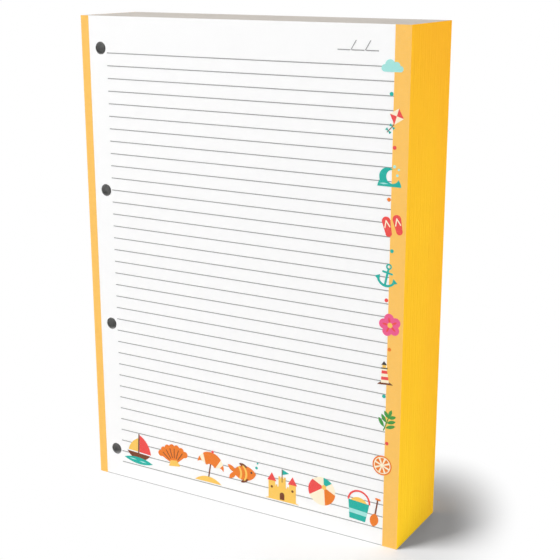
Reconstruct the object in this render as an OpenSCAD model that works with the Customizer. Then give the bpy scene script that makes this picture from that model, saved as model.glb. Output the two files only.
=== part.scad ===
// Binder refill paper: a free-standing pack of loose leaves with ring holes, ruled and printed.
// Millimetres, +Z up. The front page faces -Y, the ring holes are on the left and the fore edge on
// the right. The origin is at the middle of the pack's foot.

/* [Sheets] */
// Width of a sheet, from the hole edge to the fore edge
sheet_w = 200; // [170:1:240]
// Height of a sheet
sheet_h = 275; // [262:1:320]
// Thickness of one sheet
sheet_t = 0.1; // [0.08:0.01:0.12]
// Number of sheets in the pack
sheet_count = 500; // [200:10:600]

/* [Cut edges] */
// Sheets that shift together as one lift when the pack is knocked up
lift_sheets = 10; // [5:1:20]
// Farthest that a lift stands back from the flush edge
lift_stray = 0.06; // [0.04:0.01:0.2]
// How deep the colour of the margins shows on the cut edges
tint_depth = 0.4; // [0.3:0.05:1]

/* [Ring holes] */
// Diameter of a ring hole
hole_d = 7; // [5:0.5:8]
// Number of ring holes
hole_count = 4; // [2:1:4]
// Distance between neighbouring ring holes
hole_pitch = 80; // [60:1:82]
// Distance from the hole edge of the sheet to the middle of the holes
hole_inset = 13; // [10:0.5:16]

/* [Margins] */
// Width of the coloured band beside the holes
hole_band_w = 5.2; // [3:0.1:5.5]
// Width of the coloured band at the fore edge
fore_band_w = 8.5; // [5:0.5:12]
// Thickness of a layer of print
ink_t = 0.1; // [0.05:0.01:0.2]

/* [Ruling] */
// Distance between two ruled lines
line_pitch = 7; // [6:0.5:9]
// Width of a ruled line
line_w = 0.45; // [0.3:0.05:0.8]
// Distance from the top of the sheet to the first line
head_margin = 20; // [18:1:30]
// Least distance from the last line to the foot of the sheet
foot_margin = 10; // [8:1:20]
// Gap between the holes and the start of the lines
line_gap = 0.8; // [0.5:0.1:4]

/* [Date blank] */
// Length of each of the three dashes
dash_w = 6.8; // [5:0.1:8]
// Height of the two slashes
slash_h = 4.8; // [3:0.1:6]
// How far the top of a slash leans over its foot
slash_lean = 2.9; // [1:0.1:4]
// Gap between a dash and the slash beside it
slash_gap = 0.5; // [0.4:0.1:1]
// Height of the dashes above the first line
date_rise = 7.2; // [5:0.1:9]
// Distance from the end of the blank to the fore edge band
date_inset = 8.5; // [8:0.5:20]

/* [Printed motifs] */
// Height of a motif in the row at the foot
foot_motif = 20; // [16:1:24]
// Least gap between two motifs in the row at the foot
foot_gap = 2.4; // [2:0.1:8]
// Height of the row above the foot of the sheet
foot_rise = 11; // [8:0.5:20]
// How much higher every second motif stands
foot_step = 3; // [0:0.5:5]
// Height of a motif in the column at the fore edge
margin_motif = 13; // [9:1:14]
// Gap between two motifs in the column
margin_gap = 12.5; // [8:0.5:20]
// How far the motifs of the column step out to either side
margin_step = 1.2; // [0:0.1:1.5]
// Diameter of the dots between the motifs of the column
dot_d = 2; // [1:0.1:3]

/* [Hidden] */
$fa = 12;
$fs = 0.85;

stack_t = sheet_count * sheet_t;
lift_count = ceil(sheet_count / lift_sheets);
lift_t = stack_t / lift_count;
stray_turn = 137.5; // degrees from one lift to the next, so that no pattern repeats
top_phase = 0;
fore_phase = 70;
hole_phase = 200;
core_w = sheet_w - 2 * tint_depth;
drill_past = 1; // how far a cutting tool reaches past what it cuts

ruling_left = hole_inset + hole_d / 2 + line_gap;
ruling_right = sheet_w - fore_band_w;
ruling_w = ruling_right - ruling_left;
just_fits = 1e-6; // share of a step by which the last of a row may be short of room
line_count = floor((sheet_h - head_margin - foot_margin) / line_pitch + just_fits) + 1;
date_base = sheet_h - head_margin + date_rise;
date_step = dash_w + 2 * slash_gap;
date_left = ruling_right - date_inset - 3 * dash_w - 4 * slash_gap;

foot_grid = 24; // the motifs of the foot row are drawn this high, standing on their origin
margin_grid = 13; // and those of the column this high
foot_count = floor(ruling_w / (foot_motif + foot_gap) + just_fits);
foot_pitch = ruling_w / foot_count;
foot_top = foot_rise + foot_step + foot_motif;
trim_gap = 0.5; // least distance of the column from the cut edge
margin_axis = sheet_w - max(fore_band_w, margin_motif / 2 + margin_step + trim_gap);
margin_low = foot_top + margin_gap / 2 + margin_motif / 2;
margin_high = sheet_h - head_margin;
margin_count = floor((margin_high - margin_low) / (margin_motif + margin_gap) + just_fits) + 1;
margin_pitch = (margin_high - margin_low) / (margin_count - 1);
FOOT_ROW = ["boat", "shell", "parasol", "fish", "castle", "ball", "bucket"];
MARGIN_COLUMN = [
    "citrus", "sprig", "lighthouse", "blossom", "anchor", "sandals", "wave", "kite", "cloud"
];
FOOT_TILTS = [-3, 8, 0, 6, 0, 14, -4];
MARGIN_TILTS = [0, -20, 4, 10, -12, 14, 0, -16, 0];

// How far lift i stands back from the flush edge. The outer two lifts are flush.
function stray(i, phase) =
    (i == 0 || i == lift_count - 1) ? 0 : lift_stray * (1 + sin(stray_turn * i + phase)) / 2;

// The stepped edge of the lifts, from the front to the back: [depth, height] pairs.
function stepped_edge(flush, phase) = [
    for (i = [0 : lift_count - 1])
        for (side = [0, 1])
            [-stack_t / 2 + (i + side) * lift_t, flush - stray(i, phase)]
];

// The pack seen from its fore edge: flat at the foot, stepped at the top.
module end_profile() {
    polygon(concat([[-stack_t / 2, 0]], stepped_edge(sheet_h, top_phase), [[stack_t / 2, 0]]));
}

// Carries a profile drawn as [depth, height] across the width of the pack.
module across(width) {
    translate([-width / 2, 0, 0]) rotate([90, 0, 90]) linear_extrude(width) children();
}

module ring_holes() {
    for (i = [0 : hole_count - 1])
        translate([hole_inset - sheet_w / 2, 0, sheet_h / 2 + (i - (hole_count - 1) / 2) * hole_pitch])
            rotate([90, 0, 0])
                cylinder(d = hole_d, h = stack_t + 2 * drill_past, center = true);
}

// All the leaves as one drilled block, apart from the tinted strip along two of its edges.
module sheet_stack() {
    color("#FBFAF6")
        difference() {
            across(core_w) end_profile();
            ring_holes();
        }
}

// The strip at +X where the margin colour shows on the cut edges of the lifts.
module edge_tint(phase) {
    steps = [for (p = stepped_edge(sheet_w / 2, phase)) [p[1], p[0]]];
    intersection() {
        linear_extrude(sheet_h)
            polygon(concat([[core_w / 2, -stack_t / 2]], steps, [[core_w / 2, stack_t / 2]]));
        across(sheet_w) end_profile();
    }
}

module fore_edge_tint() {
    color("#FCBF2B") edge_tint(fore_phase);
}

module hole_edge_tint() {
    color("#FCBF2B") mirror([1, 0, 0]) edge_tint(hole_phase);
}

// Prints a drawing on the front page. It is drawn from the sheet's lower left corner.
module on_front() {
    translate([-sheet_w / 2, -stack_t / 2, 0])
        rotate([90, 0, 0])
            linear_extrude(ink_t)
                children();
}

// The same drawing on the last page, in place behind the front one.
module on_back() {
    mirror([0, 1, 0]) on_front() children();
}

module margin_bands() {
    square([hole_band_w, sheet_h]);
    translate([ruling_right, 0]) square([fore_band_w, sheet_h]);
}

module ruled_lines() {
    for (i = [0 : line_count - 1])
        translate([ruling_left, sheet_h - head_margin - i * line_pitch - line_w / 2])
            square([ruling_w, line_w]);
}

module front_margin_bands() {
    color("#FEC865")
        on_front()
            difference() {
                margin_bands();
                motifs("outline");
            }
}

module back_margin_bands() {
    color("#FEC865") on_back() margin_bands();
}

module front_ruling() {
    color("#8E8E8E")
        on_front()
            difference() {
                ruled_lines();
                motifs("outline");
            }
}

module back_ruling() {
    color("#8E8E8E") on_back() ruled_lines();
}

// Three dashes with a leaning slash after the first and the second, to be filled in by hand.
module date_blank() {
    color("#8E8E8E")
        on_front()
            translate([date_left, date_base]) {
                for (i = [0 : 2])
                    translate([i * date_step, -line_w / 2]) square([dash_w, line_w]);
                for (i = [1 : 2])
                    translate([i * date_step - slash_gap - line_w / 2, 0])
                        polygon([
                            [0, 0], [line_w, 0],
                            [slash_lean + line_w, slash_h], [slash_lean, slash_h]
                        ]);
            }
}

// A pointed oval about the origin, made by two equal arcs.
module lens(length, height) {
    r = (length * length + height * height) / (4 * height);
    intersection() {
        translate([0, r - height / 2]) circle(r);
        translate([0, height / 2 - r]) circle(r);
    }
}

// A lozenge about the origin, for a glint on water.
module glint(length, height) {
    polygon([[-length / 2, 0], [0, -height / 2], [length / 2, 0], [0, height / 2]]);
}

// The part of a disc above a chord of the given width, standing on the origin.
module dome(width, height) {
    r = (width * width / 4 + height * height) / (2 * height);
    intersection() {
        translate([0, height - r]) circle(r);
        translate([-width, 0]) square([2 * width, height + drill_past]);
    }
}

// An endless wedge between two angles less than half a turn apart, to cut a disc with.
module wedge(from, to) {
    reach = 60;
    polygon([[0, 0], reach * [cos(from), sin(from)], reach * [cos(to), sin(to)]]);
}

// A straight bar with round ends from one point to another.
module bar(from, to, width) {
    run = to - from;
    translate(from)
        rotate(atan2(run[1], run[0])) {
            translate([0, -width / 2]) square([norm(run), width]);
            circle(d = width);
            translate([norm(run), 0]) circle(d = width);
        }
}

// Prints its children in order, child i in inks[i]. Each one is left out of those below it, so that
// no ink lies on another. It gives the areas of one ink, or all of them as one outline.
module overprint(ink, inks) {
    if (ink == "outline")
        children();
    else
        for (i = [0 : $children - 1])
            if (inks[i] == ink)
                difference() {
                    children(i);
                    for (j = [i + 1 : 1 : $children - 1]) children(j);
                }
}

// A sailing boat on a swell
module boat(ink) {
    overprint(ink, ["coral", "sand", "brown", "brown", "teal", "pale_teal"]) {
        intersection() {
            translate([0.7, 9.5]) square([12, 15]);
            translate([-6, 7]) circle(r = 17);
        }
        intersection() {
            translate([-12.7, 9.5]) square([12, 12]);
            translate([6, 6]) circle(r = 15.5);
        }
        bar([0, 7], [0, 23], 1);
        translate([0, 8.5]) mirror([0, 1]) dome(20, 5.5);
        translate([0, 2.6]) lens(25, 5.2);
        for (x = [-5, 4]) translate([x, 2.6 - x / 20]) glint(7, 1);
    }
}

// A scallop shell, its ribs spreading from the hinge
module shell(ink) {
    lobe_turn = 17;
    translate([0, 2.5])
        overprint(ink, ["orange", "sand", "brown"]) {
            union() {
                intersection() {
                    circle(r = 14);
                    rotate(90) wedge(-57, 57);
                }
                for (i = [-3 : 3]) rotate(i * lobe_turn) translate([0, 13.4]) circle(r = 2.35);
            }
            polygon([[-5, -0.8], [5, -0.8], [2.6, 3.6], [-2.6, 3.6]]);
            for (i = [-2.5 : 2.5]) rotate(i * lobe_turn) bar([0, 5.6], [0, 12.4], 0.6);
        }
}

// A sunshade on a heap of sand
module parasol(ink) {
    module canopy() {
        difference() {
            dome(22, 10.5);
            for (x = [-7.6, 0, 7.6]) translate([x, -2.6]) circle(r = 4);
        }
    }
    overprint(ink, ["brown", "sand", "orange", "cream", "coral"]) {
        translate([0, 1]) rotate(-10) bar([0, 0], [0, 20], 1);
        dome(22, 4.2);
        translate([2.2, 12.5]) rotate(-10) canopy();
        translate([2.2, 12.5]) rotate(-10)
            intersection() {
                canopy();
                for (a = [42, 102]) translate([0, -9]) wedge(a + 12, a + 24);
            }
        translate([4.15, 23.5]) circle(r = 1);
    }
}

// A fish with two pale bars, and the bubbles ahead of it
module fish(ink) {
    module body() {
        lens(18.5, 11);
    }
    translate([0, 10])
        overprint(ink, ["orange", "brown", "sand", "charcoal", "teal"]) {
            union() {
                for (s = [-1, 1]) translate([-10, s * 2.5]) rotate(-s * 40) lens(8, 3.4);
                body();
            }
            for (s = [-1, 1]) translate([-0.5, s * 5.6]) rotate(-s * 22) lens(7, 2.4);
            intersection() {
                body();
                for (x = [-2.6, 1.6])
                    difference() {
                        translate([x - 7, 0]) circle(r = 7.6);
                        translate([x - 8.6, 0]) circle(r = 7.6);
                    }
            }
            translate([5.6, 0.9]) circle(r = 0.75);
            for (p = [[10.2, 5, 1], [11.4, 8.4, 0.7]]) translate([p[0], p[1]]) circle(r = p[2]);
        }
}

// A castle of moulded sand with two roofed towers and a flag
module castle(ink) {
    overprint(ink, ["sand", "coral", "brown", "brown", "teal"]) {
        union() {
            dome(26, 2.6);
            translate([-8, 1]) square([16, 9]);
            for (x = [-3 : 3]) translate([x * 2.2 - 0.65, 9.9]) square([1.3, 1.4]);
            for (s = [-1, 1]) translate([s * 8 - 2.6, 1]) square([5.2, 12.5]);
            translate([-2.8, 9]) square([5.6, 7.5]);
            for (x = [-1 : 1]) translate([x * 2.1 - 0.7, 16.4]) square([1.4, 1.3]);
        }
        for (s = [-1, 1]) translate([s * 8, 13.5]) polygon([[-3.5, 0], [3.5, 0], [0, 5.8]]);
        union() {
            translate([-1.8, 0.9]) square([3.6, 3.6]);
            translate([0, 4.5]) circle(r = 1.8);
            for (s = [-1, 1]) translate([s * 8, 9]) circle(r = 0.9);
        }
        bar([0, 14], [0, 23], 0.6);
        translate([0.3, 19.3]) polygon([[0, 0], [5, 1.9], [0, 3.8]]);
    }
}

// A blown-up ball, its panels meeting at a button
module ball(ink) {
    module disc() {
        translate([0, 11]) circle(r = 10);
    }
    module panel(from) {
        intersection() {
            disc();
            translate([2.4, 13.6]) wedge(from, from + 60);
        }
    }
    overprint(ink, ["cream", "teal", "coral", "orange", "sand"]) {
        disc();
        panel(20);
        panel(140);
        panel(260);
        translate([2.4, 13.6]) circle(r = 1.7);
    }
}

// A bucket heaped with sand, and a spade beside it
module bucket(ink) {
    module pail(low, high) {
        slope = 1 / 7;
        polygon([
            [-5.6 - low * slope, low], [5.6 + low * slope, low],
            [5.6 + high * slope, high], [-5.6 - high * slope, high]
        ]);
    }
    overprint(ink, ["coral", "sand", "teal", "pale_teal", "brown", "orange"]) {
        translate([-2.5, 13.5])
            difference() {
                circle(r = 8.2);
                circle(r = 7);
                translate([-10, -20]) square([20, 20]);
            }
        translate([-2.5, 13]) dome(12.5, 3.6);
        translate([-2.5, 0]) pail(0.5, 13.5);
        translate([-2.5, 0]) pail(4.5, 7.5);
        bar([9.6, 7], [10.6, 19], 1);
        union() {
            translate([9.3, 4.2]) rotate(85) lens(9.5, 6);
            bar([9.4, 19.4], [12, 19.2], 1.3);
        }
    }
}

// A breaking wave with drops over its crest
module wave(ink) {
    overprint(ink, ["teal", "pale_teal"]) {
        difference() {
            union() {
                dome(13, 6);
                translate([-1, 5]) circle(r = 4.6);
            }
            translate([1.7, 5.1]) circle(r = 3.5);
        }
        union() {
            translate([-3, 1.4]) glint(5, 0.9);
            for (p = [[2.6, 10.2, 0.8], [4.9, 8.8, 0.6], [4.2, 5.9, 0.7]])
                translate([p[0], p[1]]) circle(r = p[2]);
        }
    }
}

// A stalk with leaves in pairs
module sprig(ink) {
    overprint(ink, ["green"]) {
        union() {
            bar([0, 0.3], [0, 9.5], 0.6);
            for (z = [2.2, 4.9, 7.6])
                for (s = [-1, 1])
                    translate([s * (3.3 - z / 5), z + 1.7]) rotate(s * 38) lens(6.4 - z / 4, 2);
            translate([0, 10.8]) rotate(90) lens(4.4, 1.9);
        }
    }
}

// A banded lighthouse on a rock
module lighthouse(ink) {
    module tower() {
        polygon([[-2.3, 1], [2.3, 1], [1.4, 9], [-1.4, 9]]);
    }
    overprint(ink, ["brown", "cream", "coral", "sand", "charcoal"]) {
        dome(9, 1.9);
        tower();
        intersection() {
            tower();
            for (z = [2.6, 6]) translate([-3, z]) square([6, 1.7]);
        }
        translate([-1, 8.9]) square([2, 1.9]);
        union() {
            translate([-1.9, 8.6]) square([3.8, 0.6]);
            translate([0, 10.7]) polygon([[-1.6, 0], [1.6, 0], [0, 2.1]]);
        }
    }
}

// A flower of five round petals
module blossom(ink) {
    translate([0, 6.5])
        overprint(ink, ["pink", "coral", "sand"]) {
            for (a = [0 : 72 : 288]) rotate(a) translate([0, 3.5]) circle(r = 2.7);
            for (a = [0 : 72 : 288]) rotate(a) translate([0, 2.6]) rotate(90) lens(3.6, 1.1);
            circle(r = 1.4);
        }
}

// A stocked anchor
module anchor(ink) {
    overprint(ink, ["teal"]) {
        union() {
            translate([0, 11.3])
                difference() {
                    circle(r = 1.6);
                    circle(r = 0.8);
                }
            bar([0, 1.4], [0, 9.9], 1.1);
            bar([-2.6, 8], [2.6, 8], 1);
            intersection() {
                translate([0, 6])
                    difference() {
                        circle(r = 5.6);
                        circle(r = 4.4);
                    }
                translate([0, 6]) wedge(205, 335);
            }
            for (s = [-1, 1])
                translate([s * 4.7, 4.2])
                    rotate(s * 25) polygon([[-1.7, -0.8], [1.7, -0.8], [0, 2]]);
        }
    }
}

// A summer cloud
module cloud(ink) {
    translate([0, 4])
        overprint(ink, ["pale_teal"]) {
            union() {
                for (p = [[-3.9, 1.8, 1.8], [-1.1, 3.3, 2.7], [2.2, 2.8, 2.1], [4.4, 1.5, 1.5]])
                    translate([p[0], p[1]]) circle(r = p[2]);
                translate([-3.9, 0]) square([8.3, 2]);
            }
        }
}

// A pair of beach sandals, seen from above
module sandals(ink) {
    overprint(ink, ["coral", "cream"]) {
        for (s = [-1, 1])
            translate([s * 3, 0]) {
                translate([0, 3]) circle(r = 1.8);
                translate([0, 9.2]) circle(r = 2.4);
                polygon([[-1.75, 3], [1.75, 3], [2.35, 9], [-2.35, 9]]);
            }
        for (s = [-1, 1])
            translate([s * 3, 0]) {
                bar([0, 9.6], [-1.4, 6.2], 0.6);
                bar([0, 9.6], [1.4, 6.2], 0.6);
            }
    }
}

// A kite and its tail of bows
module kite(ink) {
    cross = [0, 9];
    tips = [[0, 4.6], [3.9, 9], [0, 13], [-3.9, 9]];
    overprint(ink, ["brown", "coral", "cream", "teal"]) {
        bar([0, 5], [-2.6, 0], 0.4);
        polygon(tips);
        for (i = [0, 2]) polygon([cross, tips[i], tips[i + 1]]);
        for (knot = [[-0.85, 3.36], [-2.2, 0.77]])
            translate(knot)
                for (turn = [-27, 153])
                    rotate(turn) polygon([[-0.2, 0], [1.6, 0.75], [1.6, -0.75]]);
    }
}

// A round slice of citrus fruit
module citrus(ink) {
    translate([0, 6.5])
        overprint(ink, ["orange", "cream", "orange"]) {
            circle(r = 5.6);
            circle(r = 4.8);
            for (a = [0 : 45 : 315])
                rotate(a)
                    intersection() {
                        circle(r = 4.3);
                        translate([0.9, 0]) wedge(-19, 19);
                    }
        }
}

module motif(kind, ink) {
    if (kind == "boat") boat(ink);
    if (kind == "shell") shell(ink);
    if (kind == "parasol") parasol(ink);
    if (kind == "fish") fish(ink);
    if (kind == "castle") castle(ink);
    if (kind == "ball") ball(ink);
    if (kind == "bucket") bucket(ink);
    if (kind == "wave") wave(ink);
    if (kind == "sprig") sprig(ink);
    if (kind == "lighthouse") lighthouse(ink);
    if (kind == "blossom") blossom(ink);
    if (kind == "anchor") anchor(ink);
    if (kind == "cloud") cloud(ink);
    if (kind == "sandals") sandals(ink);
    if (kind == "kite") kite(ink);
    if (kind == "citrus") citrus(ink);
}

// Brings a motif that is drawn grid high to its printed size, turned about its middle.
module sized(grid, size, tilt) {
    scale(size / grid)
        translate([0, grid / 2]) rotate(tilt) translate([0, -grid / 2]) children();
}

// The row along the foot of the page, every second motif a step higher.
module foot_row(ink) {
    for (i = [0 : foot_count - 1])
        translate([ruling_left + (i + 0.5) * foot_pitch, foot_rise + (i % 2) * foot_step])
            sized(foot_grid, foot_motif, FOOT_TILTS[i % len(FOOT_TILTS)])
                motif(FOOT_ROW[i % len(FOOT_ROW)], ink);
}

// The column up the fore edge band, its motifs to the left and right by turns, a dot between two.
module margin_column(ink) {
    dot_inks = ["coral", "teal", "orange"];
    for (i = [0 : margin_count - 1]) {
        side = 2 * (i % 2) - 1;
        middle = margin_low + i * margin_pitch;
        translate([margin_axis + side * margin_step, middle - margin_motif / 2])
            sized(margin_grid, margin_motif, MARGIN_TILTS[i % len(MARGIN_TILTS)])
                motif(MARGIN_COLUMN[i % len(MARGIN_COLUMN)], ink);
        if (i < margin_count - 1)
            translate([margin_axis - side * margin_step, middle + margin_pitch / 2])
                overprint(ink, [dot_inks[i % len(dot_inks)]]) circle(d = dot_d);
    }
}

// All that is printed in one ink, or the outline of the whole print.
module motifs(ink) {
    foot_row(ink);
    margin_column(ink);
}

module orange_print() {
    color("#EE8133") on_front() motifs("orange");
}

module brown_print() {
    color("#7B4630") on_front() motifs("brown");
}

module teal_print() {
    color("#2BB3A5") on_front() motifs("teal");
}

module pale_teal_print() {
    color("#A8E6E0") on_front() motifs("pale_teal");
}

module sand_print() {
    color("#FBCB63") on_front() motifs("sand");
}

module cream_print() {
    color("#FFF3D6") on_front() motifs("cream");
}

module coral_print() {
    color("#EF5350") on_front() motifs("coral");
}

module pink_print() {
    color("#F06292") on_front() motifs("pink");
}

module green_print() {
    color("#4C9A4A") on_front() motifs("green");
}

module charcoal_print() {
    color("#3C3C3C") on_front() motifs("charcoal");
}

sheet_stack();
fore_edge_tint();
hole_edge_tint();
front_margin_bands();
back_margin_bands();
front_ruling();
back_ruling();
date_blank();
orange_print();
brown_print();
teal_print();
pale_teal_print();
sand_print();
cream_print();
coral_print();
pink_print();
green_print();
charcoal_print();
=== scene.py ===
"""Looks of a pack of binder refill paper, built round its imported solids.

Metres, +Z up. The front page faces -Y, the ring holes are on the left and the fore edge is on the
right. The leaves and their tinted edges are modelled again leaf by leaf; the print keeps the
solids of the frame and gets its inks.
"""

import logging
import math
from contextlib import contextmanager
from dataclasses import dataclass
from enum import Enum
from typing import Callable, Dict, Iterator, List, Optional, Sequence, Tuple, Union

import bmesh
import bpy
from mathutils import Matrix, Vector


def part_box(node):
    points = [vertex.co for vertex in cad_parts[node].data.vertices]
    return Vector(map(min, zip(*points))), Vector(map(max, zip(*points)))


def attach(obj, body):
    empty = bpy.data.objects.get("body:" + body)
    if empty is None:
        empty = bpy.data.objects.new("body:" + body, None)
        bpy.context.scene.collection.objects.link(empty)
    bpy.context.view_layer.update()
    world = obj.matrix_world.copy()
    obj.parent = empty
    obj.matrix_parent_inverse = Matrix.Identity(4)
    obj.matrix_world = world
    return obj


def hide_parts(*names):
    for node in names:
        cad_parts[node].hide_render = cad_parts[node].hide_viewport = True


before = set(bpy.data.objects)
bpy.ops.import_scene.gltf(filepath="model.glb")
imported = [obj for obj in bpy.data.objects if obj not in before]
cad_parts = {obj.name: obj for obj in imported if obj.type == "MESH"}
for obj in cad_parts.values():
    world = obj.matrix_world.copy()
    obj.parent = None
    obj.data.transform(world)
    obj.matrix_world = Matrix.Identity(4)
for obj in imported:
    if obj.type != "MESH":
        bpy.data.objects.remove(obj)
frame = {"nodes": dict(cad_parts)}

Colour = Tuple[float, float, float, float]
Triple = Tuple[float, float, float]
Span = Tuple[float, float]

LOG = logging.getLogger("refill")
MM = 0.001
FULL_WHITE: Colour = (1.0, 1.0, 1.0, 1.0)
# Points nearer to each other than this lie in one plane.
TOUCH = 0.01 * MM
# Points nearer to an edge than this belong to it, also where their lift stands back.
EDGE_ZONE = 0.2 * MM
# A face belongs to a page where this much of its normal or more is along Y.
FACING = 0.99


def linear(share: float) -> float:
    """Turns a swatch's share of one primary, 0 to 1, into the linear share that shaders use."""
    return share / 12.92 if share <= 0.04045 else ((share + 0.055) / 1.055) ** 2.4


def ink(code: str) -> Colour:
    """Turns a colour as a printer's swatch gives it into the linear values that shaders use.

    Args:
        code: six hexadecimal digits after a #.

    Returns:
        Red, green, blue and alpha.
    """
    return tuple(linear(int(code[i:i + 2], 16) / 255) for i in (1, 3, 5)) + (1.0,)


class Term:
    """A shader value on which sums are written as on numbers."""

    def __init__(self, graph: "Graph", output: bpy.types.NodeSocket) -> None:
        """Wraps a node's output in its graph."""
        self.graph = graph
        self.output = output

    def __add__(self, other: "Value") -> "Term":
        """This value and another, added."""
        return self.graph.math("ADD", self, other)

    def __mul__(self, other: "Value") -> "Term":
        """This value times another."""
        return self.graph.math("MULTIPLY", self, other)

    def __sub__(self, other: "Value") -> "Term":
        """This value less another."""
        return self.graph.math("SUBTRACT", self, other)

    def __rsub__(self, other: "Value") -> "Term":
        """Another value less this one."""
        return self.graph.math("SUBTRACT", other, self)

    def __truediv__(self, other: "Value") -> "Term":
        """This value divided by another."""
        return self.graph.math("DIVIDE", self, other)

    __radd__ = __add__
    __rmul__ = __mul__


Value = Union[Term, float, Sequence[float]]


class Graph:
    """The nodes of one material or world."""

    def __init__(self, tree: bpy.types.NodeTree) -> None:
        """Starts with an empty tree."""
        self.tree = tree
        tree.nodes.clear()

    def node(self, kind: str, settings: Optional[Dict] = None,
             sockets: Optional[Dict] = None) -> bpy.types.Node:
        """Adds a node.

        Args:
            kind: the node's type, without the words ShaderNode in front.
            settings: what is set on the node before its sockets, such as a Math node's operation.
            sockets: a number, colour or Term for each named or numbered input.

        Returns:
            The new node.
        """
        made = self.tree.nodes.new("ShaderNode" + kind)
        for name, value in (settings or {}).items():
            setattr(made, name, value)
        for name, value in (sockets or {}).items():
            if isinstance(value, Term):
                self.tree.links.new(value.output, made.inputs[name])
            else:
                made.inputs[name].default_value = value
        return made

    def out(self, kind: str, settings: Optional[Dict] = None, sockets: Optional[Dict] = None,
            output: Union[str, int] = 0) -> Term:
        """Adds a node and returns one of its outputs, the first unless another is named."""
        return Term(self, self.node(kind, settings, sockets).outputs[output])

    def math(self, operation: str, *values: Value) -> Term:
        """Adds a Math node for an operation on one, two or three values."""
        return self.out("Math", {"operation": operation}, dict(enumerate(values)))

    def place(self) -> Term:
        """The point being shaded, in the row frame, in metres."""
        return self.out("TexCoord", output="Object")

    def along(self, place: Term) -> Tuple[Term, Term, Term]:
        """Splits a point into its three coordinates."""
        split = self.node("SeparateXYZ", None, {0: place})
        return tuple(Term(self, split.outputs[i]) for i in range(3))

    def stretched(self, place: Term, scale: Sequence[float]) -> Term:
        """Multiplies a point by a number for each axis."""
        return self.out("VectorMath", {"operation": "MULTIPLY"}, {0: place, 1: tuple(scale)})

    def noise(self, place: Term, scale: float, detail: float) -> Term:
        """Soft noise about 0.5 with so many blots to the metre."""
        return self.out("TexNoise", None, {"Vector": place, "Scale": scale, "Detail": detail})

    def ramp(self, value: Value, low: float, high: float) -> Term:
        """Rises smoothly from 0 at low to 1 at high."""
        return self.out("MapRange", {"interpolation_type": "SMOOTHSTEP"},
                        {"Value": value, "From Min": low, "From Max": high})

    def blend(self, share: Value, first: Union[Term, Colour], second: Union[Term, Colour],
              how: str = "MIX") -> Term:
        """Blends two colours by a share of the second one.

        Args:
            share: that share, 0 to 1.
            first: the one colour.
            second: the other one.
            how: what the second does to the first, such as MULTIPLY.

        Returns:
            The blend. A Mix node has its colours at inputs 6 and 7 and at output 2.
        """
        return self.out("Mix", {"data_type": "RGBA", "blend_type": how},
                        {0: share, 6: first, 7: second}, output=2)

    def bump(self, height: Value, depth: float, strength: float) -> Term:
        """Turns a height between 0 and 1 into a normal, for relief of the given depth."""
        return self.out("Bump", None,
                        {"Height": height, "Distance": depth, "Strength": strength})


@dataclass(frozen=True)
class Grain:
    """A soft random pattern that is fixed to the object.

    Attributes:
        scale: how many blots there are to the metre.
        detail: how many layers of finer blots lie over them.
        stretch: how much closer together they are along X, Y and Z. None where they are round.
    """

    scale: float
    detail: float
    stretch: Optional[Triple] = None

    def at(self, graph: Graph, place: Term) -> Term:
        """Draws the pattern.

        Args:
            graph: the material's nodes.
            place: the point being shaded.

        Returns:
            A value between 0 and 1, mostly near 0.5.
        """
        if self.stretch is not None:
            place = graph.stretched(place, self.stretch)
        return graph.noise(place, self.scale, self.detail)

    def swing(self, graph: Graph, place: Term) -> Term:
        """The pattern at a point, moved down so that it goes both ways from 0."""
        return self.at(graph, place) - 0.5


@dataclass(frozen=True)
class Relief:
    """Relief that is too fine to be modelled.

    Attributes:
        grain: its pattern.
        depth: from its highest points to its lowest ones.
        strength: how much of it the light shows.
    """

    grain: Grain
    depth: float
    strength: float

    def at(self, graph: Graph, place: Term) -> Term:
        """The normal at a point."""
        return graph.bump(self.grain.at(graph, place), self.depth, self.strength)


@dataclass(frozen=True)
class Finish:
    """A matt finish on paper.

    Attributes:
        name: the material's name.
        colour: its main colour.
        roughness: of the surface, 1 being quite dull.
        uneven: the pattern of its duller and smoother places, as felt and wire leave them.
        unevenness: how far the roughness goes up and down with them.
        gloss: the strength of its mirrored light.
        relief: the fine tooth of the sheet's fibres.
    """

    name: str
    colour: Colour
    roughness: float = 0.82
    uneven: Grain = Grain(900.0, 2.0)
    unevenness: float = 0.12
    gloss: float = 0.12
    relief: Relief = Relief(Grain(5200.0, 3.0, (1.0, 1.0, 0.45)), 0.012 * MM, 0.7)

    def material(self) -> bpy.types.Material:
        """Makes the material with its pattern, colour, roughness and relief.

        Returns:
            The new material.
        """
        made = bpy.data.materials.new(self.name)
        made.use_nodes = True
        made.diffuse_color = self.colour
        graph = Graph(made.node_tree)
        place = graph.place()
        shader = graph.out("BsdfPrincipled", None, {
            "Base Color": self.tint(graph, place),
            "Roughness": self.roughness + self.unevenness * self.uneven.swing(graph, place),
            "Normal": self.relief.at(graph, place),
            "Specular IOR Level": self.gloss,
        })
        graph.node("OutputMaterial", None, {"Surface": shader})
        return made

    def tint(self, graph: Graph, place: Term) -> Term:
        """The colour at a point. Each kind of finish has its own."""
        raise NotImplementedError


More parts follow.
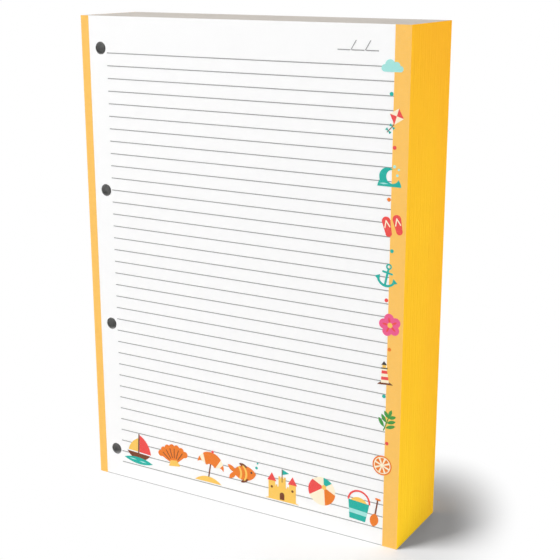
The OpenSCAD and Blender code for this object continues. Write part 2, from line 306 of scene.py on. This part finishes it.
@dataclass(frozen=True)
class PageFinish(Finish):
    """Uncoated white paper: faint clouds where the pulp lies thicker, and short fibres.

    Attributes:
        clouds: the pattern of the clouds, about 6 mm wide.
        cloudiness: how much they show.
        fibres: the pattern of the fibres, a fraction of a millimetre long.
        fibrousness: how much they show.
        painted_foot_shade: painted shade, how much darker the sheet is along its foot.
        foot_shade_height: how far up from the foot that painted shade reaches.
        foot_shade_even: the share of that height that is evenly dark.
    """

    clouds: Grain = Grain(160.0, 4.0)
    cloudiness: float = 0.012
    fibres: Grain = Grain(3400.0, 2.0, (1.0, 1.0, 0.3))
    fibrousness: float = 0.018
    painted_foot_shade: float = 0.6
    foot_shade_height: float = 0.6 * MM
    foot_shade_even: float = 0.4

    def tint(self, graph: Graph, place: Term) -> Term:
        """Lays white with clouds and fibres, and a darker line of painted shade along the foot.

        Args:
            graph: the material's nodes.
            place: the point being shaded.

        Returns:
            The colour there.
        """
        height = graph.along(place)[2]
        clouds = self.clouds.swing(graph, place)
        fibres = self.fibres.swing(graph, place)
        # Painted shade: a darker line along the foot, where the pack stands on the floor.
        unshaded_share = graph.ramp(height, self.foot_shade_even * self.foot_shade_height, self.foot_shade_height)
        foot_shade_share = self.painted_foot_shade * (1.0 - unshaded_share)
        grey = (1.0 + self.cloudiness * clouds + self.fibrousness * fibres) * (1.0 - foot_shade_share)
        return graph.blend(1.0, self.colour, grey, "MULTIPLY")


@dataclass(frozen=True)
class CutEdgeFinish(Finish):
    """The trimmed edge of many leaves: a streak for each leaf, broader ones for the lifts.

    Attributes:
        relief: the sawn look of a stack that one blade has trimmed.
        shade: the colour of the darker streaks.
        contrast: how much of the darker colour the streaks take.
        streaks: the fine, the middling and the broad ones, each with its share of the whole.
        between: where on that whole the darker colour comes in.
    """

    relief: Relief = Relief(Grain(1.0, 2.0, (40.0, 10000.0, 40.0)), 0.02 * MM, 0.35)
    shade: Colour = ink("#BFB9B2")
    contrast: float = 0.5
    streaks: Tuple[Tuple[float, Grain], ...] = (
        (0.3, Grain(1.0, 1.0, (9.0, 9000.0, 5.0))),
        (0.35, Grain(1.0, 2.0, (3.0, 1700.0, 3.0))),
        (0.35, Grain(1.0, 1.0, (1.5, 170.0, 1.5))),
    )
    between: Span = (0.36, 0.66)

    def streaked(self, graph: Graph, place: Term, ground: Union[Term, Colour]) -> Term:
        """Draws the darker streaks over a ground colour, along the leaves.

        Args:
            graph: the material's nodes.
            place: the point being shaded.
            ground: the colour under the streaks.

        Returns:
            The colour there.
        """
        fine, middling, broad = (part * grain.at(graph, place) for part, grain in self.streaks)
        share = graph.ramp(fine + middling + broad, *self.between) * self.contrast
        return graph.blend(share, ground, self.shade)

    def tint(self, graph: Graph, place: Term) -> Term:
        """The main colour with its streaks."""
        return self.streaked(graph, place, self.colour)


@dataclass(frozen=True)
class TintedEdgeFinish(CutEdgeFinish):
    """A long cut edge where the margins' ink shows, deeper at the head and towards the back.

    Attributes:
        head: the colour at the top of the edge.
        back: the colour beside the last page.
        clouds: the pattern that makes both changes of colour uneven.
        drift_up: how far it moves the change towards the head, up and down.
        drift_back: how far it moves the change towards the back, to and fro.
        low_rise: the heights between which the head's colour first comes in.
        low_share: how much of it comes in there.
        high_rise: the heights between which the rest comes in.
        back_run: the depths between which the back's colour comes in.
        back_share: how much of it does.
    """

    shade: Colour = ink("#F8BA20")
    contrast: float = 0.25
    between: Span = (0.38, 0.68)
    head: Colour = ink("#F8B227")
    back: Colour = ink("#FBB227")
    clouds: Grain = Grain(1.0, 3.0, (20.0, 45.0, 9.0))
    drift_up: float = 70.0 * MM
    drift_back: float = 20.0 * MM
    low_rise: Span = (-30.0 * MM, 120.0 * MM)
    low_share: float = 0.48
    high_rise: Span = (170.0 * MM, 310.0 * MM)
    back_run: Span = (-6.0 * MM, 25.0 * MM)
    back_share: float = 0.4

    def tint(self, graph: Graph, place: Term) -> Term:
        """Lays golden yellow, more orange at the head, with streaks along the leaves.

        Args:
            graph: the material's nodes.
            place: the point being shaded.

        Returns:
            The colour there.
        """
        _, depth, height = graph.along(place)
        cloud = self.clouds.swing(graph, place)
        height = height + self.drift_up * cloud
        rise = (self.low_share * graph.ramp(height, *self.low_rise)
                + (1.0 - self.low_share) * graph.ramp(height, *self.high_rise))
        ground = graph.blend(rise, self.colour, self.head)
        near = graph.ramp(depth + self.drift_back * cloud, *self.back_run)
        ground = graph.blend(near * self.back_share, ground, self.back)
        return self.streaked(graph, place, ground)


@dataclass(frozen=True)
class BoreFinish(Finish):
    """The wall of a drilled ring hole, with painted shade: grey at both mouths and paler within.

    Attributes:
        relief: rings where the drill has torn the leaves.
        mouth: how much of its colour it keeps at a mouth, as painted shade.
        page_depth: how far the pages are from the middle of the pack.
        paling: how far in from a page the painted shade fades to its full colour.
        rings: the pattern of a ring for each leaf.
        ring_low: the least of the colour that the rings leave.
        ring_swing: how much more they may leave.
    """

    relief: Relief = Relief(Grain(1.0, 2.0, (200.0, 9000.0, 200.0)), 0.04 * MM, 0.8)
    mouth: float = 0.34
    page_depth: float = 25.0 * MM
    paling: float = 8.0 * MM
    rings: Grain = Grain(1.0, 2.0, (60.0, 5200.0, 60.0))
    ring_low: float = 0.8
    ring_swing: float = 0.4

    def tint(self, graph: Graph, place: Term) -> Term:
        """Lays grey with a ring for each leaf, and painted shade darker towards both pages.

        Args:
            graph: the material's nodes.
            place: the point being shaded.

        Returns:
            The colour there.
        """
        _, depth, _ = graph.along(place)
        rings = self.ring_low + self.ring_swing * self.rings.at(graph, place)
        # Painted shade: the wall is darkest at both mouths, so that the hole shows as a dark
        # opening.
        within = graph.ramp(self.page_depth - graph.math("ABSOLUTE", depth), 0.0, self.paling)
        grey = (self.mouth + (1.0 - self.mouth) * within) * rings
        return graph.blend(1.0, self.colour, grey, "MULTIPLY")


@dataclass(frozen=True)
class InkFinish(Finish):
    """Offset ink on uncoated paper: slightly blotchy, with pin holes where the sheet shows.

    Attributes:
        paper: what shows through the pin holes.
        blots: the pattern in which the ink lies thicker and thinner.
        blotch: how unevenly it lies.
        pinholes: the pattern of the pin holes.
        pinhole_run: where on that pattern they open.
        pinhole: how much of the sheet shows in them.
    """

    roughness: float = 0.74
    paper: Colour = (0.96, 0.955, 0.94, 1.0)
    blots: Grain = Grain(420.0, 3.0)
    blotch: float = 0.07
    pinholes: Grain = Grain(3600.0, 2.0)
    pinhole_run: Span = (0.6, 0.78)
    pinhole: float = 0.22

    def tint(self, graph: Graph, place: Term) -> Term:
        """Lays the ink unevenly, with the sheet in the pin holes.

        Args:
            graph: the material's nodes.
            place: the point being shaded.

        Returns:
            The colour there.
        """
        thickness = 1.0 + self.blotch * self.blots.swing(graph, place)
        laid = graph.blend(1.0, self.colour, thickness, "MULTIPLY")
        open_share = graph.ramp(self.pinholes.at(graph, place), *self.pinhole_run)
        return graph.blend(open_share * self.pinhole, laid, self.paper)


MARGIN_INK = "#FEC766"
LINE_INK = "#999999"
# The swatch of each solid of print.
INKS: Dict[str, str] = {
    "front_margin_bands": MARGIN_INK,
    "back_margin_bands": MARGIN_INK,
    "front_ruling": LINE_INK,
    "back_ruling": LINE_INK,
    "date_blank": LINE_INK,
    "orange_print": "#EE8133",
    "brown_print": "#7B4630",
    "teal_print": "#2BB3A5",
    "pale_teal_print": "#A8E6E0",
    "sand_print": "#FBCB63",
    "cream_print": "#FFF3D6",
    "coral_print": "#EF5350",
    "pink_print": "#F06292",
    "green_print": "#4C9A4A",
    "charcoal_print": "#3C3C3C",
}


def only(obj: bpy.types.Object) -> None:
    """Makes an object the only one that is selected, and the active one.

    Args:
        obj: that object.
    """
    bpy.ops.object.select_all(action="DESELECT")
    obj.select_set(True)
    bpy.context.view_layer.objects.active = obj


@contextmanager
def editing(obj: bpy.types.Object, parts: str = "VERT") -> Iterator[None]:
    """Edit mode on one object, with nothing selected at first.

    Args:
        obj: the mesh object to edit.
        parts: what is selected there: VERT, EDGE or FACE.

    Yields:
        Nothing, while edit mode lasts.
    """
    only(obj)
    bpy.ops.object.mode_set(mode="EDIT")
    bpy.ops.mesh.select_mode(type=parts)
    bpy.ops.mesh.select_all(action="DESELECT")
    try:
        yield
    finally:
        bpy.ops.object.mode_set(mode="OBJECT")


def pick(obj: bpy.types.Object, parts: str, wanted: Callable[..., bool]) -> None:
    """Selects, in edit mode, the edges or faces that a test wants, and no others.

    Args:
        obj: the object in edit mode.
        parts: edges or faces.
        wanted: the test of one of them.
    """
    bpy.ops.mesh.select_all(action="DESELECT")
    mesh = bmesh.from_edit_mesh(obj.data)
    for part in [part for part in getattr(mesh, parts) if wanted(part)]:
        part.select_set(True)
    bmesh.update_edit_mesh(obj.data)


def runs_along(edge: bmesh.types.BMEdge, axis: int) -> bool:
    """Tells whether an edge of the outline runs along an axis."""
    return abs(edge.verts[0].co[axis] - edge.verts[1].co[axis]) > TOUCH


def open_at(edge: bmesh.types.BMEdge, depth: float) -> bool:
    """Tells whether an edge is an open one of the shell at this depth along Y."""
    halfway = (edge.verts[0].co.y + edge.verts[1].co.y) / 2
    return edge.is_boundary and abs(halfway - depth) < TOUCH


class CutEdge(Enum):
    """The trimmed edges at which the lifts stand back, each with its scatter's first angle."""

    HEAD = 0.0
    FORE = 70.0
    HOLE = 200.0


@dataclass(frozen=True)
class Lifts:
    """How the leaves stand together: in lifts of ten that were knocked up by hand.

    Attributes:
        front: where the first leaf starts, along Y.
        leaf: the thickness of a leaf.
        leaves: how many leaves there are.
        per_lift: the leaves of a lift.
        farthest: how far a lift may stand back.
        turn: the angle between the scatters of two lifts, in degrees.
        slack: the share of a lift that a point may be short of the next one and still be in it.
    """

    front: float
    leaf: float = 0.1 * MM
    leaves: int = 500
    per_lift: int = 10
    farthest: float = 0.06 * MM
    turn: float = 137.5
    slack: float = 0.004

    @property
    def count(self) -> int:
        """How many lifts there are."""
        return math.ceil(self.leaves / self.per_lift)

    @property
    def thickness(self) -> float:
        """The thickness of a lift."""
        return self.leaf * self.leaves / self.count

    def index(self, depth: float) -> int:
        """The lift that a point at this depth along Y belongs to."""
        place = int((depth - self.front) / self.thickness + self.slack)
        return min(max(place, 0), self.count - 1)

    def stray(self, lift: int, edge: CutEdge) -> float:
        """Tells how far a lift stands back at an edge. The outer two are flush.

        Args:
            lift: its number, counted from the front.
            edge: the trimmed edge.

        Returns:
            The distance.
        """
        if lift in (0, self.count - 1):
            return 0.0
        wave = math.sin(math.radians(self.turn * lift + edge.value))
        return self.farthest * (1 + wave) / 2


@dataclass(frozen=True)
class Rim:
    """The outline of one leaf or lift from its front to its back, with a groove before the next.

    Attributes:
        flush: the share of its thickness that is flush.
        groove: the share at which the groove is deepest.
        depth: how deep the groove is.
        weld: how near two points are to be made one where a leaf joins the next.
    """

    flush: float = 0.7
    groove: float = 0.85
    depth: float = 0.008 * MM
    weld: float = 0.002 * MM

    def carry(self, obj: bpy.types.Object, thickness: float, about: Vector, sink: Triple,
              times: int) -> None:
        """Carries an outline back over one thickness and repeats it, each joined to the next.

        Args:
            obj: a mesh with only the outline, a closed loop of edges.
            thickness: from one outline to the next, along Y.
            about: the point that the groove is drawn in towards.
            sink: the scale of the outline at the bottom of the groove.
            times: how often it is repeated.
        """
        steps = ((self.flush, (1.0, 1.0, 1.0)), (self.groove - self.flush, sink),
                 (1.0 - self.groove, tuple(1.0 / s for s in sink)))
        with editing(obj, "EDGE"):
            bpy.ops.mesh.select_all(action="SELECT")
            for share, scale in steps:
                bpy.ops.mesh.extrude_edges_move(
                    TRANSFORM_OT_translate={"value": (0.0, share * thickness, 0.0)})
                bpy.ops.transform.resize(value=scale, center_override=tuple(about))
        array = obj.modifiers.new("leaf after leaf", "ARRAY")
        array.use_relative_offset = False
        array.use_constant_offset = True
        array.constant_offset_displace = (0.0, thickness, 0.0)
        array.count = times
        array.use_merge_vertices = True
        array.merge_threshold = self.weld
        only(obj)
        bpy.ops.object.modifier_apply(modifier=array.name)


@dataclass
class LeafPile:
    """Leaves within a box, as one closed shell with a groove between every two.

    Attributes:
        name: of the piece.
        low: its lowest corner.
        high: its highest corner.
        lifts: how its leaves stand together.
        cuts: how often the outline is divided along X and along Z.
        rim: the run of a leaf's edge.
    """

    name: str
    low: Vector
    high: Vector
    lifts: Lifts
    cuts: Tuple[int, int] = (7, 11)
    rim: Rim = Rim()

    @property
    def size(self) -> Vector:
        """Width, depth and height."""
        return self.high - self.low

    def outline(self) -> bpy.types.Object:
        """Draws the front leaf's outline as a loop of edges.

        Returns:
            The new object, its place in its mesh.
        """
        centre = (self.low + self.high) / 2
        centre.y = self.low.y
        bpy.ops.object.select_all(action="DESELECT")
        bpy.ops.mesh.primitive_plane_add(size=1.0, location=centre, rotation=(math.pi / 2, 0, 0))
        obj = bpy.context.object
        obj.name = obj.data.name = self.name
        bpy.ops.object.transform_apply(location=True, rotation=True, scale=True)
        with editing(obj, "EDGE"):
            bpy.ops.mesh.select_all(action="SELECT")
            bpy.ops.transform.resize(value=(self.size.x, 1.0, self.size.z),
                                     center_override=tuple(centre))
            bpy.ops.mesh.delete(type="ONLY_FACE")
            for axis, cuts in zip((0, 2), self.cuts):
                if cuts:
                    pick(obj, "edges", lambda edge: runs_along(edge, axis))
                    bpy.ops.mesh.subdivide(number_cuts=cuts)
        return obj

    def shell(self, inner: Optional[float] = None) -> bpy.types.Object:
        """Carries the outline through all the leaves.

        Args:
            inner: where along X the groove has no depth. None where it has none along X at all.

        Returns:
            The open shell.
        """
        obj = self.outline()
        sink_x = 1.0 if inner is None else 1.0 - self.rim.depth / self.size.x
        sink_z = 1.0 - 2 * self.rim.depth / self.size.z
        about = Vector((inner or 0.0, 0.0, (self.low.z + self.high.z) / 2))
        self.rim.carry(obj, self.lifts.leaf, about, (sink_x, 1.0, sink_z), self.lifts.leaves)
        return obj

    def knock_up(self, obj: bpy.types.Object, edge: CutEdge, axis: int, flush: float) -> None:
        """Lets each lift stand back from an edge.

        Args:
            obj: the shell.
            edge: which edge.
            axis: the axis that the edge is square to.
            flush: where the edge is along that axis.
        """
        inwards = -1.0 if flush > 0 else 1.0
        groups: Dict[int, List[int]] = {}
        for vertex in obj.data.vertices:
            if abs(vertex.co[axis] - flush) < EDGE_ZONE:
                groups.setdefault(self.lifts.index(vertex.co.y), []).append(vertex.index)
        with editing(obj):
            for lift, members in groups.items():
                stray = self.lifts.stray(lift, edge)
                if stray == 0.0:
                    continue
                bpy.ops.mesh.select_all(action="DESELECT")
                mesh = bmesh.from_edit_mesh(obj.data)
                mesh.verts.ensure_lookup_table()
                for i in members:
                    mesh.verts[i].select = True
                move = [0.0, 0.0, 0.0]
                move[axis] = inwards * stray
                bpy.ops.transform.translate(value=move)

    def close(self, obj: bpy.types.Object) -> None:
        """Fills the first and the last page, and turns every face outwards.

        Args:
            obj: the open shell.
        """
        with editing(obj, "EDGE"):
            for page in (self.low.y, self.high.y):
                pick(obj, "edges", lambda edge: open_at(edge, page))
                bpy.ops.mesh.fill(use_beauty=True)
            bpy.ops.mesh.select_all(action="SELECT")
            bpy.ops.mesh.normals_make_consistent(inside=False)

    def dress(self, obj: bpy.types.Object, slot: str, *nodes: str) -> None:
        """Lets the piece stand for its solids and ride on the pack.

        Args:
            obj: the piece.
            slot: a material slot's name; not used.
            nodes: the solids it stands for.
        """
        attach(obj, "root")
        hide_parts(*nodes)
        LOG.info("%s: %d faces", obj.name, len(obj.data.polygons))


class Skin(Enum):
    """What a face of the drilled leaves belongs to, with the number of its material slot."""

    PAGE = 0
    CUT_EDGE = 1
    BORE = 2


@dataclass
class DrilledLeaves(LeafPile):
    """The white leaves with their ring holes.

    Attributes:
        hole_radius: of a ring hole.
        hole_x: where the holes are along X.
        hole_heights: where they are along Z.
        hole_sides: how many sides a hole's outline has.
        hole_rim: the run of a hole's wall through a lift, its groove cut into the paper.
        page: the finish of the pages.
        cut_edge: the finish of the trimmed edges, its grey partly painted shade.
        bore: the finish of the holes' walls, with painted shade at their mouths.
    """

    hole_radius: float = 3.5 * MM
    hole_x: float = -87.0 * MM
    hole_heights: Tuple[float, ...] = (17.5 * MM, 97.5 * MM, 177.5 * MM, 257.5 * MM)
    hole_sides: int = 36
    hole_rim: Rim = Rim(flush=0.9, groove=0.95, depth=0.02 * MM)
    page: Finish = PageFinish("refill_page", ink("#FDFDFD"))
    # The cut edges' grey-beige is partly the paper's own colour and partly painted shade, darker
    # than the page.
    cut_edge: Finish = CutEdgeFinish("refill_cut_edge", ink("#D4CEC7"))
    bore: Finish = BoreFinish("refill_bore", ink("#F0F0EF"))

    def hole_wall(self, height: float) -> bpy.types.Object:
        """Models the wall of a ring hole, with a groove between every two lifts.

        Args:
            height: where the hole is along Z.

        Returns:
            The wall, open at both mouths.
        """
        centre = Vector((self.hole_x, self.low.y, height))
        bpy.ops.object.select_all(action="DESELECT")
        bpy.ops.mesh.primitive_circle_add(vertices=self.hole_sides, radius=self.hole_radius,
                                          location=centre, rotation=(math.pi / 2, 0, 0))
        obj = bpy.context.object
        bpy.ops.object.transform_apply(location=True, rotation=True, scale=True)
        widen = 1.0 + self.hole_rim.depth / self.hole_radius
        self.hole_rim.carry(obj, self.lifts.thickness, centre, (widen, 1.0, widen),
                            self.lifts.count)
        return obj

    def build(self) -> None:
        """Models the drilled leaves and gives them their finishes."""
        obj = self.shell()
        self.knock_up(obj, CutEdge.HEAD, 2, self.high.z)
        walls = [self.hole_wall(height) for height in self.hole_heights]
        only(obj)
        for wall in walls:
            wall.select_set(True)
        bpy.ops.object.join()
        self.close(obj)
        for finish in (self.page, self.cut_edge, self.bore):
            obj.data.materials.append(finish.material())
        with editing(obj, "FACE"):
            for skin in (Skin.CUT_EDGE, Skin.BORE):
                pick(obj, "faces", lambda face: self.skin(face) is skin)
                obj.active_material_index = skin.value
                bpy.ops.object.material_slot_assign()
        self.dress(obj, "paper", "sheet_stack")

    def skin(self, face: bmesh.types.BMFace) -> Skin:
        """Tells what a face belongs to.

        Args:
            face: a face of the closed shell.

        Returns:
            The page, the cut edge or the wall of a ring hole.
        """
        if abs(face.normal.y) >= FACING:
            return Skin.PAGE
        point = face.calc_center_median()
        reach = self.hole_radius + EDGE_ZONE
        drilled = any(math.hypot(point.x - self.hole_x, point.z - height) < reach
                      for height in self.hole_heights)
        return Skin.BORE if drilled else Skin.CUT_EDGE


@dataclass
class TintedLeafEdges(LeafPile):
    """The coloured ends of the leaves at the fore edge or at the hole edge.

    Attributes:
        node: the solid that it stands for.
        edge: which of the two edges it is.
        finish: how it is coloured.
    """

    cuts: Tuple[int, int] = (0, 11)
    node: str = "fore_edge_tint"
    edge: CutEdge = CutEdge.FORE
    finish: Finish = TintedEdgeFinish("refill_tinted_edge", ink("#FFD125"))

    def build(self) -> None:
        """Models the strip, its lifts standing back from the edge and from the head."""
        right = self.edge is CutEdge.FORE
        inner, outer = (self.low.x, self.high.x) if right else (self.high.x, self.low.x)
        obj = self.shell(inner)
        self.knock_up(obj, self.edge, 0, outer)
        self.knock_up(obj, CutEdge.HEAD, 2, self.high.z)
        self.close(obj)
        obj.data.materials.append(self.finish.material())
        # The shadow beside the pack is a neutral grey, so the strip throws no yellow light on it.
        obj.visible_diffuse = False
        self.dress(obj, "edge_tint", self.node)


@dataclass
class PrintedPages:
    """The print of the first and the last page, which keeps the frame's solids.

    Attributes:
        nodes: the frame's solids by name.
    """

    nodes: Dict[str, bpy.types.Object]

    def build(self) -> None:
        """Gives each solid of print its ink."""
        for name, swatch in INKS.items():
            obj = self.nodes[name]
            material = InkFinish("ink_" + name, ink(swatch)).material()
            if not obj.material_slots:
                obj.data.materials.append(material)
            for slot in obj.material_slots:
                slot.material = material
            LOG.info("%s: ink %s", name, swatch)


@dataclass(frozen=True)
class Softbox:
    """A square area lamp that looks at the pack.

    Attributes:
        name: of the lamp.
        place: where it stands.
        side: the length of its side.
        power: in watts.
        target: what it looks at.
    """

    name: str
    place: Triple
    side: float
    power: float
    target: Triple = (0.0, 0.0, 0.12)

    def build(self) -> None:
        """Hangs the lamp, unseen by the camera."""
        lamp = bpy.data.lights.new(self.name, "AREA")
        lamp.shape, lamp.size, lamp.energy = "SQUARE", self.side, self.power
        obj = bpy.data.objects.new(self.name, lamp)
        bpy.context.scene.collection.objects.link(obj)
        obj.location = self.place
        aim = Vector(self.target) - Vector(self.place)
        obj.rotation_euler = aim.to_track_quat("-Z", "Y").to_euler()
        obj.visible_camera = False


@dataclass
class Studio:
    """A white floor that keeps the pack's shadow, plain soft light and the camera.

    Attributes:
        sky: the strength of the light from all round.
        lamps: the three softboxes.
        camera_place: where the camera stands.
        camera_turn: how it is turned, in degrees.
        lens: its focal length in millimetres, on a sensor of the width below.
        sensor: that width.
        clip: the nearest and the farthest that it sees.
        floor_side: the length of the floor's side.
        floor_grey: how pale the floor is where it keeps the shadow.
        shadow_middle: where the shadow's ellipse has its middle, along X and Y.
        shadow_reach: how far it reaches from there, along X and Y.
        shadow_fade: the shares of that reach between which the floor turns to plain white.
    """

    sky: float = 0.22
    lamps: Tuple[Softbox, ...] = (
        Softbox("key", (-1.98, -1.98, 3.14), 1.8, 154.5),
        Softbox("fore_edge_fill", (1.75, -0.1, 0.12), 0.22, 15.5),
        Softbox("back_fill", (-0.5, 2.1, 0.2), 0.36, 13.0),
    )
    camera_place: Triple = (0.3243, -0.5384, 0.3040)
    camera_turn: Triple = (74.53, 0.0, 30.0)
    lens: float = 74.1
    sensor: float = 36.0
    clip: Span = (0.01, 200.0)
    floor_side: float = 60.0
    floor_grey: float = 0.89
    shadow_middle: Span = (0.083, -0.018)
    shadow_reach: Span = (0.072, 0.128)
    shadow_fade: Span = (0.48, 1.0)

    def build(self) -> None:
        """Sets up the whole studio."""
        self.world()
        self.floor()
        for lamp in self.lamps:
            lamp.build()
        self.camera()
        scene = bpy.context.scene
        scene.view_settings.view_transform = "Standard"
        LOG.info("studio: floor, %d lamps, camera", len(self.lamps))

    @staticmethod
    def seen(graph: Graph) -> Term:
        """Tells the rays that show the background from those that light the pack.

        Args:
            graph: the nodes of the floor or of the world.

        Returns:
            1 for rays from the camera, mirrored or passed through, and 0 for all others.
        """
        path = graph.node("LightPath")
        straight, mirrored, through = (Term(graph, path.outputs[name]) for name in (
            "Is Camera Ray", "Is Glossy Ray", "Is Transmission Ray"))
        return graph.math("MAXIMUM", graph.math("MAXIMUM", straight, mirrored), through)

    def world(self) -> None:
        """An even sky that shows white."""
        world = bpy.data.worlds.new("studio")
        world.use_nodes = True
        bpy.context.scene.world = world
        graph = Graph(world.node_tree)
        strength = self.sky + (1.0 - self.sky) * self.seen(graph)
        sky = graph.out("Background", None, {"Color": FULL_WHITE, "Strength": strength})
        graph.node("OutputWorld", None, {"Surface": sky})

    def floor(self) -> None:
        """A white floor that shows shadows near the pack and is plain white farther off."""
        bpy.ops.object.select_all(action="DESELECT")
        bpy.ops.mesh.primitive_plane_add(size=self.floor_side)
        floor = bpy.context.object
        floor.name = "floor"
        material = bpy.data.materials.new("studio_floor")
        material.use_nodes = True
        graph = Graph(material.node_tree)
        x, y, _ = graph.along(graph.place())
        across = (x - self.shadow_middle[0]) / self.shadow_reach[0]
        back = (y - self.shadow_middle[1]) / self.shadow_reach[1]
        away = graph.math("SQRT", across * across + back * back)
        plain = graph.ramp(away, *self.shadow_fade) * self.seen(graph)
        matt = graph.out("BsdfDiffuse", None, {"Color": (self.floor_grey,) * 3 + (1.0,)})
        white = graph.out("Emission", None, {"Color": FULL_WHITE, "Strength": 1.0})
        surface = graph.out("MixShader", None, {0: plain, 1: matt, 2: white})
        graph.node("OutputMaterial", None, {"Surface": surface})
        floor.data.materials.append(material)

    def camera(self) -> None:
        """The photograph's point of view."""
        camera = bpy.data.cameras.new("camera")
        camera.sensor_width, camera.lens = self.sensor, self.lens
        camera.clip_start, camera.clip_end = self.clip
        obj = bpy.data.objects.new("camera", camera)
        bpy.context.scene.collection.objects.link(obj)
        obj.location = self.camera_place
        obj.rotation_euler = [math.radians(a) for a in self.camera_turn]
        bpy.context.scene.camera = obj


def main() -> None:
    """Builds the pack's pieces and the studio."""
    logging.basicConfig(level=logging.INFO, format="%(message)s")
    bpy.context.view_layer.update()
    low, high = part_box("sheet_stack")
    lifts = Lifts(front=low.y)
    DrilledLeaves("leaves", low, high, lifts).build()
    for name, node, edge in (("fore_edge_leaves", "fore_edge_tint", CutEdge.FORE),
                             ("hole_edge_leaves", "hole_edge_tint", CutEdge.HOLE)):
        TintedLeafEdges(name, *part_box(node), lifts, node=node, edge=edge).build()
    PrintedPages(frame["nodes"]).build()
    Studio().build()


if __name__ == "__main__":
    main()
